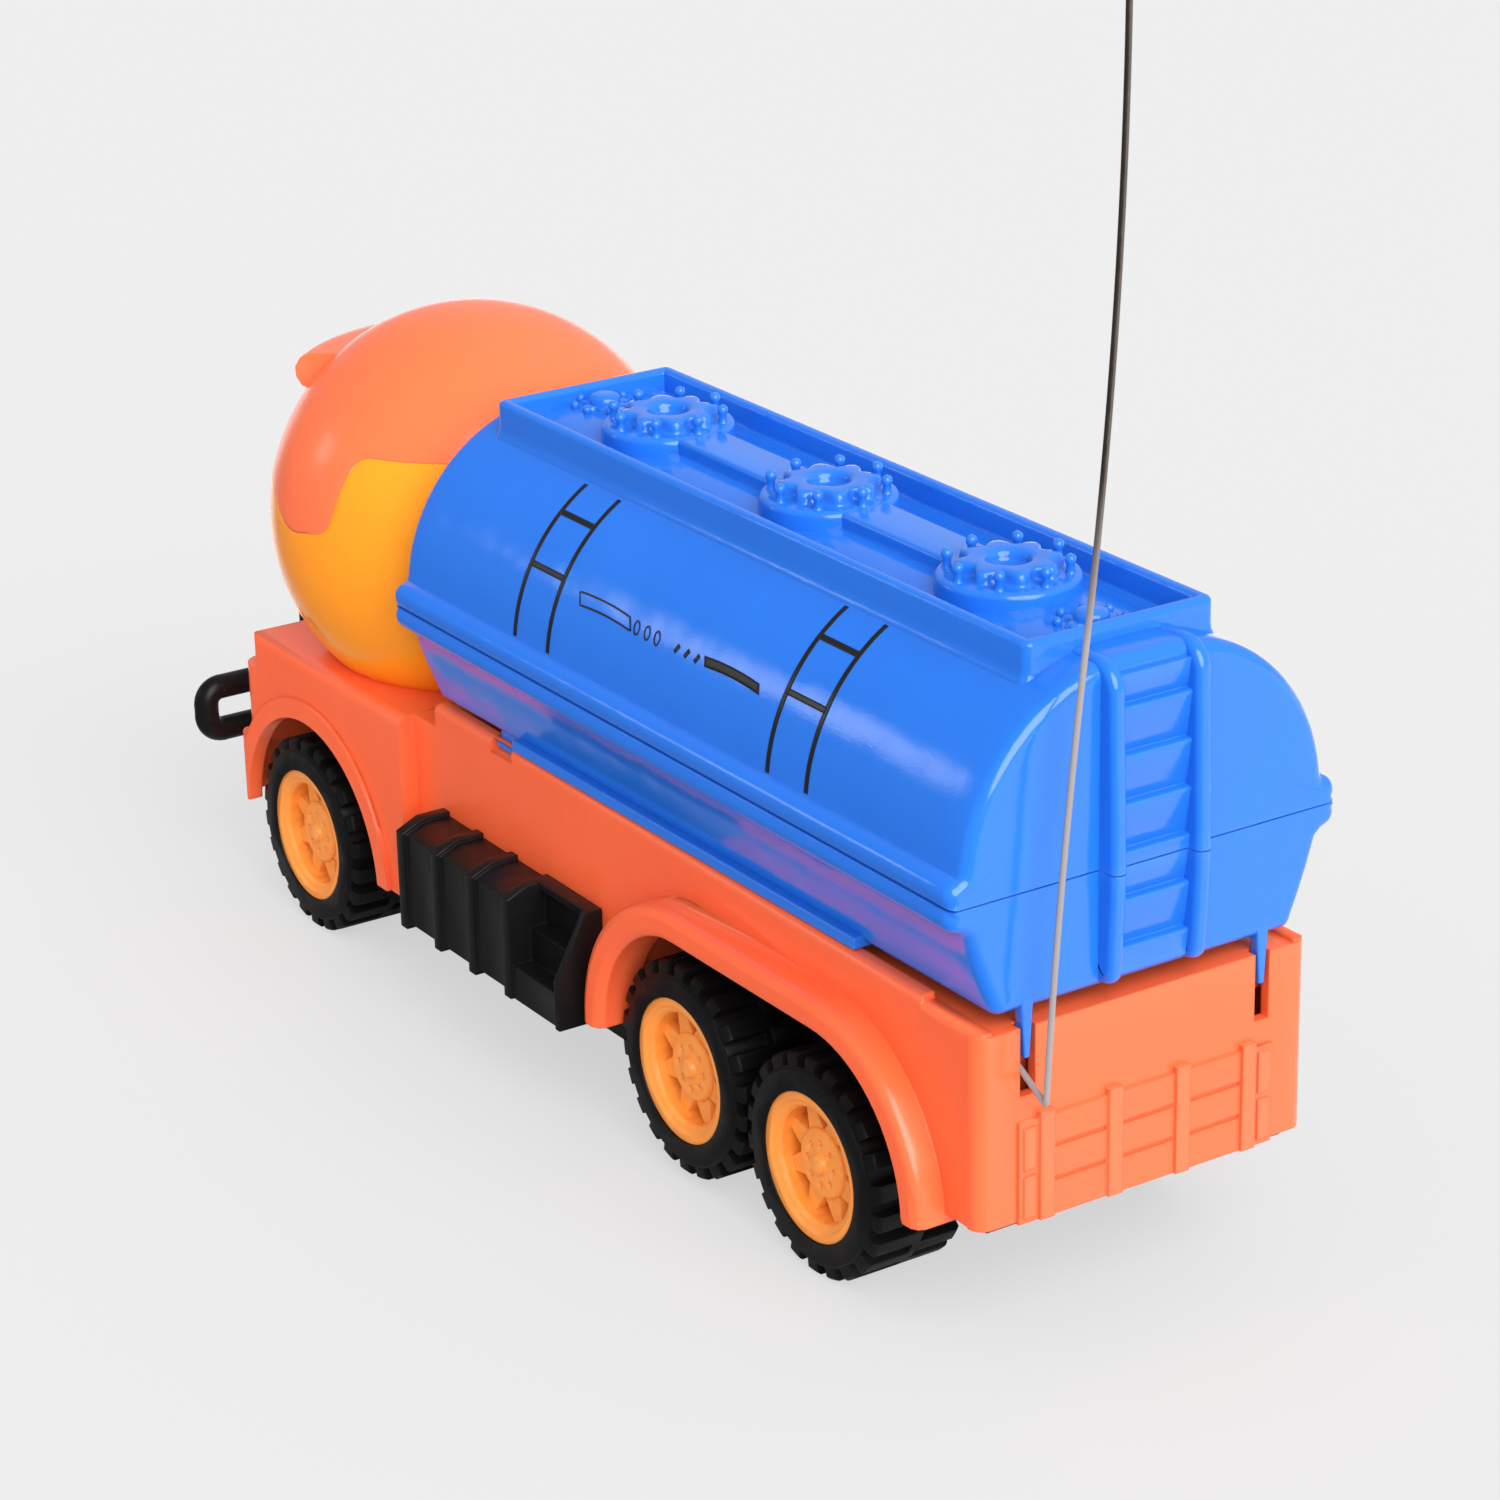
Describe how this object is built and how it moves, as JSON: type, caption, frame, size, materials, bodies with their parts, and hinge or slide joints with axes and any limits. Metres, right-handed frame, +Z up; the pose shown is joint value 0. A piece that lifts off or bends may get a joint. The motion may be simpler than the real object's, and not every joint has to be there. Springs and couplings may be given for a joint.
{
  "type": "toy tanker lorry",
  "caption": "Toy radio-control tanker lorry: blue ribbed-top tank on an orange six-wheel chassis with a round cab, steerable front wheels and whip aerial.",
  "frame": {"origin": "centre of the bounding box footprint, on the ground under the tyres", "axes": "+X forward, +Y to the lorry's left, +Z up"},
  "size_m": [0.2732, 0.0846, 0.251],
  "materials": {
    "orange_plastic": "gloss",
    "blue_plastic": "gloss",
    "yellow_plastic": "gloss",
    "amber_plastic": "satin",
    "black_plastic": "satin",
    "tyre": "satin",
    "smoked_screen": "gloss",
    "clear_lens": "gloss",
    "white_plastic": "satin",
    "steel": "bright",
    "brass": "bright",
    "copper": "lacquered wire",
    "cell_sleeve": "gloss",
    "board": "satin"
  },
  "bodies": {
    "lorry": {"body_shell": "orange_plastic", "tank_upper": "blue_plastic", "tank_lower": "blue_plastic", "cab_shell": "yellow_plastic", "cab_cap": "orange_plastic", "windscreen": "smoked_screen", "headlight_lens_left": "clear_lens", "headlight_lens_right": "clear_lens", "headlight_leds": "white_plastic", "bull_bar": "black_plastic", "side_box_left": "black_plastic", "side_box_right": "black_plastic", "antenna": "steel", "base_plate": "black_plastic", "compound_pin": "steel", "drive_motor": "steel", "gearbox_case": "black_plastic", "gearbox_cover": "black_plastic", "steering_coils": "copper", "steering_bridge": "black_plastic", "bridge_screws": "steel", "base_screws": "steel", "battery_cells": "cell_sleeve", "battery_contacts": "steel", "receiver_board": "board", "switch_body": "black_plastic"},
    "rear_wheels": {"rear_axle": "steel", "rear_rim_left": "amber_plastic", "rear_rim_right": "amber_plastic", "rear_tyre_left": "tyre", "rear_tyre_right": "tyre", "axle_gear": "white_plastic"},
    "middle_wheels": {"middle_axle": "steel", "middle_rim_left": "amber_plastic", "middle_rim_right": "amber_plastic", "middle_tyre_left": "tyre", "middle_tyre_right": "tyre"},
    "compound": {"compound_gear": "white_plastic"},
    "pinion": {"motor_pinion": "brass"},
    "knuckle_l": {"knuckle_left": "black_plastic"},
    "knuckle_r": {"knuckle_right": "black_plastic"},
    "front_wheel_l": {"front_rim_left": "amber_plastic", "front_tyre_left": "tyre"},
    "front_wheel_r": {"front_rim_right": "amber_plastic", "front_tyre_right": "tyre"},
    "track_rod": {"tie_rod": "white_plastic", "steering_magnet": "steel"},
    "door": {"battery_door": "black_plastic", "door_screw": "steel"},
    "switch": {"switch_knob": "white_plastic"}
  },
  "joints": [
    {"name": "rear_axle_spin", "type": "hinge", "parent": "lorry", "child": "rear_wheels", "pos_m": [-0.08417, 0, 0.02], "axis": [0, 1, 0], "continuous": true},
    {"name": "compound_spin", "type": "hinge", "parent": "lorry", "child": "compound", "pos_m": [-0.08075, 0.005, 0.0294], "axis": [0, 1, 0], "continuous": true},
    {"name": "pinion_spin", "type": "hinge", "parent": "lorry", "child": "pinion", "pos_m": [-0.07271, 0.0095, 0.03615], "axis": [0, 1, 0], "continuous": true},
    {"name": "middle_axle_spin", "type": "hinge", "parent": "lorry", "child": "middle_wheels", "pos_m": [-0.04373, 0, 0.0221], "axis": [0, 1, 0], "continuous": true},
    {"name": "steer_left", "type": "hinge", "parent": "lorry", "child": "knuckle_l", "pos_m": [0.09542, 0.012, 0.02], "axis": [0, 0, 1], "range_deg": [-15, 15], "stiffness_Nm_per_rad": 0.004},
    {"name": "steer_right", "type": "hinge", "parent": "lorry", "child": "knuckle_r", "pos_m": [0.09542, -0.012, 0.02], "axis": [0, 0, 1], "range_deg": [-15, 15]},
    {"name": "track_rod_slide", "type": "slide", "parent": "lorry", "child": "track_rod", "axis": [0, 1, 0], "range_m": [-0.0032, 0.0032]},
    {"name": "front_left_spin", "type": "hinge", "parent": "knuckle_l", "child": "front_wheel_l", "pos_m": [0.09542, 0.025, 0.02], "axis": [0, 1, 0], "continuous": true},
    {"name": "front_right_spin", "type": "hinge", "parent": "knuckle_r", "child": "front_wheel_r", "pos_m": [0.09542, -0.025, 0.02], "axis": [0, 1, 0], "continuous": true},
    {"name": "battery_door_slide", "type": "slide", "parent": "lorry", "child": "door", "axis": [0, 0, -1], "range_m": [0, 0.01]},
    {"name": "switch_slide", "type": "slide", "parent": "lorry", "child": "switch", "axis": [0, 1, 0], "range_m": [0, 0.0035]}
  ],
  "couplings": [
    {"joint": "compound_spin", "follows": "rear_axle_spin", "ratio": -2.3333},
    {"joint": "pinion_spin", "follows": "rear_axle_spin", "ratio": 7.4667},
    {"joint": "steer_right", "follows": "steer_left", "ratio": 1},
    {"joint": "track_rod_slide", "follows": "steer_left", "m_per_rad": -0.011863}
  ]
}
